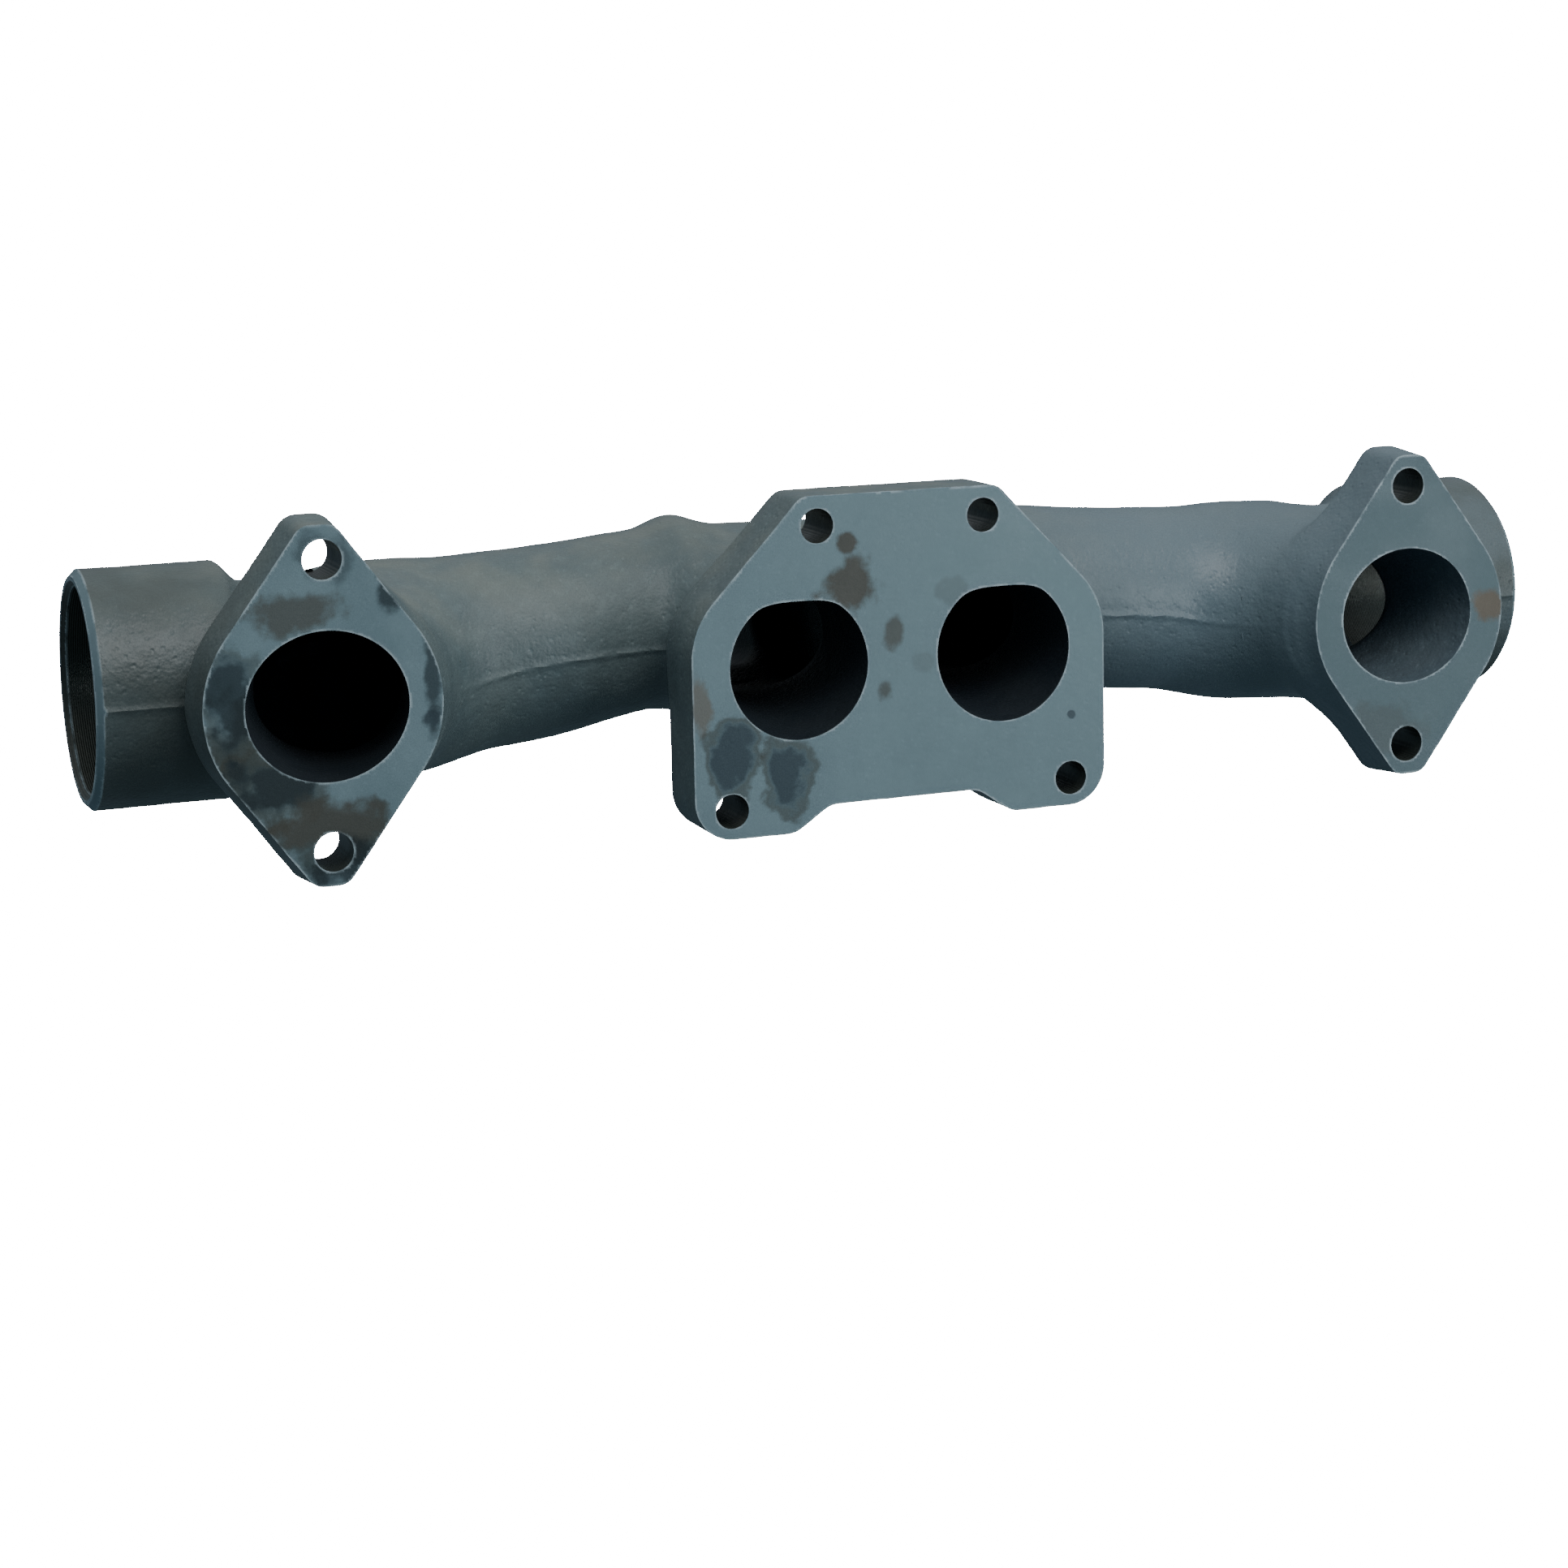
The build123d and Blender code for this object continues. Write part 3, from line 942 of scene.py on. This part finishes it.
def grain_group() -> bpy.types.NodeTree:
    """Sand-cast grain: a height made of fine grit, soft lumps and sparse pits."""
    g, source, sink = new_group(
        "cast_grain", (("Vector", "Vector"), ("Depth", "Float")), (("Height", "Float"), ("Tone", "Float"))
    )
    fine = g.noise(source.outputs[0], 900.0, 3.0)
    soft = g.noise(source.outputs[0], 260.0, 4.0)
    pits = g.add("ShaderNodeTexVoronoi", Vector=source.outputs[0], Scale=330.0).outputs[0]
    pit = g.step(pits, 0.0, 0.32)
    total = g.maths("ADD", g.maths("MULTIPLY", fine, 0.45), g.maths("MULTIPLY", soft, 0.8))
    total = g.maths("ADD", total, g.maths("MULTIPLY", pit, 0.35))
    g.feed(sink, 0, g.maths("MULTIPLY", total, source.outputs[1]))
    g.feed(sink, 1, total)
    return g.tree


def arris_highlight_group() -> bpy.types.NodeTree:
    """Painted highlight along the arrises: the arris mark broken up by noise."""
    g, source, sink = new_group(
        "painted_arris_highlight", (("Vector", "Vector"), ("Arris", "Float"), ("Amount", "Float")), (("Mask", "Float"),)
    )
    broken = g.step(g.noise(source.outputs[0], 140.0), 0.30, 0.62)
    mark = g.maths("MULTIPLY", g.step(source.outputs[1], 0.25, 0.95), broken)
    g.feed(sink, 0, g.maths("MULTIPLY", mark, source.outputs[2]))
    return g.tree


def stain_group() -> bpy.types.NodeTree:
    """One ragged blotch: an ellipse about a centre, its edge warped by noise."""
    inputs = (("Vector", "Vector"), ("Centre", "Vector"), ("Size", "Vector"), ("Ragged", "Float"))
    g, source, sink = new_group("stain", inputs, (("Mask", "Float"), ("Rim", "Float")))
    offset = g.vector("SUBTRACT", source.outputs[0], source.outputs[1]).outputs[0]
    scaled = g.vector("DIVIDE", offset, source.outputs[2]).outputs[0]
    away = g.vector("LENGTH", scaled).outputs[1]
    coarse = g.maths("SUBTRACT", g.noise(source.outputs[0], 75.0, 8.0), 0.5)
    fine = g.maths("SUBTRACT", g.noise(source.outputs[0], 240.0, 6.0), 0.5)
    rough = g.maths("ADD", coarse, g.maths("MULTIPLY", fine, 0.25))
    away = g.maths("ADD", away, g.maths("MULTIPLY", rough, source.outputs[3]))
    g.feed(sink, 0, g.maths("SUBTRACT", 1.0, g.step(away, 0.55, 1.05)))
    inner = g.step(away, 0.70, 0.95)
    g.feed(sink, 1, g.maths("MULTIPLY", inner, g.maths("SUBTRACT", 1.0, g.step(away, 0.98, 1.25))))
    return g.tree


@dataclass(frozen=True)
class Stain:
    """A blotch on a machined face: centre and half sizes in millimetres, colour, strength."""

    x: float
    z: float
    half_x: float
    half_z: float
    colour: tuple[float, float, float]
    strength: float
    rim: float = 0.0


BROWN = (0.066, 0.066, 0.056)
SLATE = (0.030, 0.048, 0.060)
DARK = (0.010, 0.018, 0.023)
OLIVE = (0.042, 0.055, 0.052)
RUST = (0.13, 0.095, 0.06)
CENTRE_STAINS = (
    Stain(-19, 38, 4, 4, BROWN, 0.95),
    Stain(-17, 24, 11, 10, BROWN, 0.95),
    Stain(-3, 9, 4, 6, BROWN, 0.8),
    Stain(-6, -10, 4, 6, BROWN, 0.75),
    Stain(17, 20, 6, 5, BROWN, 0.25),
    Stain(7, -2, 5, 4, BROWN, 0.2),
    Stain(-68, -10, 5, 9, RUST, 0.6),
    Stain(-58, -28, 9, 12, SLATE, 0.9, 0.6),
    Stain(-41, -34, 8, 12, SLATE, 0.9, 0.6),
    Stain(59, -23, 1.6, 1.6, SLATE, 0.8),
)
LEFT_STAINS = (
    Stain(-206, -16, 22, 24, OLIVE, 0.8),
    Stain(-184, -40, 26, 12, OLIVE, 0.8),
    Stain(-195, 29, 15, 8, BROWN, 0.8),
    Stain(-186, 45, 10, 9, DARK, 0.45),
    Stain(-166, 34, 5, 12, DARK, 0.8),
    Stain(-214, 4, 8, 20, DARK, 0.8, 0.4),
    Stain(-203, -22, 16, 12, DARK, 0.75, 0.5),
    Stain(-186, -36, 22, 10, BROWN, 0.8),
    Stain(-180, -48, 14, 9, DARK, 0.8),
    Stain(-153, 8, 4, 20, DARK, 0.75),
    Stain(-154, -6, 4, 3, SLATE, 0.9),
)
RIGHT_STAINS = (Stain(217.5, 0, 6.5, 8, RUST, 0.75), Stain(178, -38, 16, 10, BROWN, 0.35))


@dataclass(frozen=True)
class Finish:
    """A finish of the casting: colours, roughness, grain depth in millimetres, its marks, and the light,
    shade and highlights painted into its colour.
    """

    name: str
    colour: tuple[float, float, float]
    other: tuple[float, float, float]
    roughness: float
    metallic: float
    grain: float
    # strength of the painted highlight on the arrises
    arris_highlight: float
    gloss: float = 0.5
    # colour of the painted highlight on the arrises
    highlit_arris: tuple[float, float, float] = (0.36, 0.44, 0.47)
    mottle: float = 0.35
    # strength of the pale tint on upward faces, partly dust and partly painted light from above
    dust_and_top_light: float = 0.0
    soot: float = 0.0
    # strength of the painted shade laid over the gas ways left of the right-hand end
    painted_shade: float = 0.0
    # strength of the painted light that makes the right-hand half lighter and bluer
    painted_right_light: float = 0.0
    stains: tuple[Stain, ...] = ()
    rings: float = 0.0

    def build(
        self, grain: bpy.types.NodeTree, arris_highlight: bpy.types.NodeTree, stain: bpy.types.NodeTree
    ) -> bpy.types.Material:
        """Return the finish as a material, from the three shared node groups."""
        material = bpy.data.materials.new(self.name)
        material.use_nodes = True
        g = Graph(material.node_tree)
        shader = material.node_tree.nodes["Principled BSDF"]
        place = g.add("ShaderNodeTexCoord").outputs["Object"]
        skin = g.use(grain, Vector=place, Depth=1.0)
        broad = g.step(g.noise(place, 38.0, 6.0), 0.34, 0.66)
        colour = g.mix(broad, (*self.colour, 1), (*self.other, 1))
        speck = g.step(skin.outputs["Tone"], 0.62, 1.05)
        colour = g.mix(g.maths("MULTIPLY", speck, self.mottle), colour, (*[0.45 * c for c in self.colour], 1))
        blot = g.step(g.noise(place, 95.0, 6.0), 0.56, 0.72)
        colour = g.mix(g.maths("MULTIPLY", blot, self.mottle), colour, (*[0.6 * c for c in self.other], 1))
        # Faces turned upwards are mixed in patches towards a pale green-grey: partly dust, partly painted
        # light falling from above.
        if self.dust_and_top_light:
            up = g.add("ShaderNodeSeparateXYZ", Vector=g.add("ShaderNodeNewGeometry").outputs["Normal"])
            level = g.step(up.outputs[2], 0.1, 0.95)
            lying = g.maths("MULTIPLY", level, g.step(g.noise(place, 60.0), 0.35, 0.7))
            colour = g.mix(g.maths("MULTIPLY", lying, self.dust_and_top_light), colour, (0.17, 0.18, 0.15, 1))
        # Painted light: the right-hand half is mixed towards a lighter blue-grey, standing in for the light
        # that falls on that side.
        if self.painted_right_light:
            along = g.add("ShaderNodeSeparateXYZ", Vector=place).outputs[0]
            side = g.maths("MULTIPLY", g.step(along, 0.0, 0.12), self.painted_right_light)
            colour = g.mix(side, colour, (0.112, 0.160, 0.190, 1))
        if self.soot:
            along = g.add("ShaderNodeSeparateXYZ", Vector=place).outputs[0]
            patchy = g.maths("MULTIPLY", g.step(g.noise(place, 45.0), 0.35, 0.65), 0.45)
            patchy = g.maths("MULTIPLY", g.maths("ADD", patchy, 0.45), self.soot)
            end = g.maths("MULTIPLY", g.step(g.maths("ABSOLUTE", along), 0.190, 0.222), patchy)
            colour = g.mix(end, colour, (0.058, 0.074, 0.070, 1))
        # Painted shade: the gas ways are darkened towards near black everywhere left of about x = 0.1 m, so
        # that only the right-hand end, with its outer port, keeps its colour.
        if self.painted_shade:
            along = g.add("ShaderNodeSeparateXYZ", Vector=place).outputs[0]
            inner = g.maths("SUBTRACT", 1.0, g.step(along, 0.07, 0.15))
            colour = g.mix(g.maths("MULTIPLY", inner, self.painted_shade), colour, (0.006, 0.009, 0.013, 1))
        rough = g.maths("ADD", self.roughness - 0.08, g.maths("MULTIPLY", broad, 0.16))
        for mark in self.stains:
            blotch = g.use(
                stain,
                Vector=place,
                Centre=(mark.x * MM, 0.0, mark.z * MM),
                Size=(mark.half_x * MM, 0.03, mark.half_z * MM),
                Ragged=2.3,
            )
            colour = g.mix(g.maths("MULTIPLY", blotch.outputs[0], mark.strength), colour, (*mark.colour, 1))
            colour = g.mix(g.maths("MULTIPLY", blotch.outputs[1], mark.rim), colour, (0.045, 0.046, 0.036, 1))
        # Painted highlight: points on the arrises are mixed towards a pale blue-grey, broken up by noise,
        # standing in for light caught on small bevels.
        arris = g.add("ShaderNodeAttribute", {"attribute_name": "arris"}).outputs["Fac"]
        highlit_arris = g.use(arris_highlight, Vector=place, Arris=arris, Amount=self.arris_highlight).outputs[0]
        colour = g.mix(highlit_arris, colour, (*self.highlit_arris, 1))
        height = skin.outputs["Height"]
        if self.rings:
            axis = g.add("ShaderNodeSeparateXYZ", Vector=place).outputs[0]
            turned = g.maths("SINE", g.maths("MULTIPLY", axis, 9000.0))
            height = g.maths("ADD", height, g.maths("MULTIPLY", turned, self.rings))
        bump = g.add("ShaderNodeBump", Strength=1.0, Distance=self.grain * MM, Height=height)
        g.feed(shader, "Base Color", colour)
        g.feed(shader, "Roughness", rough)
        g.feed(shader, "Metallic", self.metallic)
        g.feed(shader, "Specular IOR Level", self.gloss)
        g.feed(shader, "Normal", bump.outputs[0])
        return material


# Cast skin; its colour carries painted light, lighter and bluer on the right-hand half.
CAST = Finish(
    "cast_skin", (0.092, 0.130, 0.138), (0.126, 0.165, 0.166), 0.50, 0.0, 0.4, 0.5,
    # The pale tint on upward faces is partly dust, partly painted light from above.
    dust_and_top_light=0.4, soot=1.0, painted_right_light=0.75,
)
TURNED = Finish("turned_iron", (0.040, 0.052, 0.047), (0.066, 0.072, 0.060), 0.42, 0.4, 0.12, 0.8, rings=0.3)
# Gas ways: painted shade darkens all of them but those at the right-hand end.
GAS = Finish(
    "gas_way", (0.075, 0.110, 0.135), (0.110, 0.145, 0.165), 0.6, 0.0, 0.5, 0.2,
    gloss=0.2, painted_shade=0.88,
)


def face_finish(name: str, stains: tuple[Stain, ...], shade: float = 1.0) -> Finish:
    """Return a machined face's finish with its own stains; shade scales its colours, and below one it is
    painted shade.
    """
    clean = (0.140 * shade, 0.206 * shade, 0.232 * shade)
    pale = (0.165 * shade, 0.240 * shade, 0.268 * shade)
    return Finish(name, clean, pale, 0.50, 0.1, 0.06, 0.9, gloss=0.25, mottle=0.10, stains=stains)


FACES = {
    "centre_port_flange": face_finish("centre_face", CENTRE_STAINS),
    "left_port_flange": face_finish("left_face", LEFT_STAINS),
    # Painted shade: the right flange's face is darkened to two thirds of the others.
    "right_port_flange": face_finish("right_face", RIGHT_STAINS, 0.66),
}


# --------------------------------------------------------------------------- stage

# Light from below and above, and how bright the background and the floor show.
LOW_LIGHT = (0.095, 0.138, 0.165)
HIGH_LIGHT = (0.72, 0.76, 0.79)
BACKDROP = 40.0
FLOOR_GLOW = 40.0

def add_camera() -> None:
    """Place the camera."""
    data = bpy.data.cameras.new("camera")
    data.lens = 73.0
    data.sensor_width = 36.0
    data.shift_x = -0.0017
    data.shift_y = -0.1188
    camera = bpy.data.objects.new("camera", data)
    columns = ((0.93208, -0.36163, -0.02133), (0.07114, 0.12500, 0.98959), (-0.35520, -0.92390, 0.14223))
    place = Matrix([[columns[c][r] for c in range(3)] for r in range(3)]).to_4x4()
    place.translation = (-0.3910, -0.9155, 0.1631)
    camera.matrix_world = place
    bpy.context.scene.collection.objects.link(camera)
    bpy.context.scene.camera = camera


def add_area(name: str, place: tuple, aim: tuple, size: tuple, power: float, colour: tuple) -> None:
    """Add a soft rectangular light aimed at a point."""
    data = bpy.data.lights.new(name, "AREA")
    data.shape = "RECTANGLE"
    data.size, data.size_y = size
    data.energy = power
    data.color = colour
    lamp = bpy.data.objects.new(name, data)
    lamp.location = place
    lamp.rotation_euler = (Vector(aim) - Vector(place)).to_track_quat("-Z", "Y").to_euler()
    bpy.context.scene.collection.objects.link(lamp)


def add_world() -> None:
    """Light the scene from above and in front; the background itself shows white."""
    world = bpy.data.worlds.new("room")
    world.use_nodes = True
    bpy.context.scene.world = world
    g = Graph(world.node_tree)
    up = g.add("ShaderNodeSeparateXYZ", Vector=g.add("ShaderNodeTexCoord").outputs["Generated"])
    sky = g.step(up.outputs[2], 0.0, 0.9)
    lit = g.mix(sky, (*LOW_LIGHT, 1), (*HIGH_LIGHT, 1))
    seen = g.add("ShaderNodeLightPath").outputs["Is Camera Ray"]
    colour = g.mix(seen, lit, (BACKDROP, BACKDROP, BACKDROP, 1))
    shade = world.node_tree.nodes["Background"]
    g.feed(shade, "Color", colour)
    g.feed(shade, "Strength", 1.0)


def add_floor(bottom: float) -> None:
    """Add the plain pale floor, which neither lights nor mirrors in the object."""
    bpy.ops.mesh.primitive_plane_add(size=8.0, location=(0, 1.5, bottom))
    floor = bpy.context.object
    floor.name = "floor"
    material = bpy.data.materials.new("floor")
    material.use_nodes = True
    shader = material.node_tree.nodes["Principled BSDF"]
    shader.inputs["Base Color"].default_value = (0.9, 0.9, 0.9, 1)
    shader.inputs["Roughness"].default_value = 0.9
    shader.inputs["Emission Color"].default_value = (1, 1, 1, 1)
    shader.inputs["Emission Strength"].default_value = FLOOR_GLOW
    floor.data.materials.append(material)
    floor.visible_diffuse = False
    floor.visible_glossy = False


def add_stage(bottom: float) -> None:
    """Add the floor, the surroundings and the lights."""
    add_floor(bottom)
    add_world()
    add_area("key", (0.1, -0.95, 1.15), (0, 0, 0), (0.9, 0.7), 11.0, (1.0, 1.0, 1.0))
    add_area("side", (0.75, -1.1, 0.05), (0.12, 0, 0), (0.5, 0.6), 8.0, (0.93, 0.97, 1.0))


def main() -> None:
    """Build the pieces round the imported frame."""
    logging.basicConfig(level=logging.INFO)
    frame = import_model()
    cad_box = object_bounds()
    add_camera()
    sizes = read_sizes(frame["record"])
    casting = Casting(sizes)
    groups = (grain_group(), arris_highlight_group(), stain_group())
    cast, turned, gas_way = (finish.build(*groups) for finish in (CAST, TURNED, GAS))
    plain_face = face_finish("plain_face", ()).build(*groups)
    faces = {node: finish.build(*groups) for node, finish in FACES.items()}
    for region in build_regions(casting):
        solid = polygonise(region)
        LOG.info("%s: %d quads", region.node, len(solid.quads))
        versions = [(region.node, solid)]
        if region.node.startswith("right"):
            versions.append((region.node.replace("right", "left"), solid.mirrored()))
        for node, shape in versions:
            face = faces.get(node, plain_face)
            piece = add_mesh(node + "_piece", shape, [cast, face, turned, gas_way])
            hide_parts(node)
            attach(piece, "root")
    add_stage(cad_box[0][2])


if __name__ == "__main__":
    main()
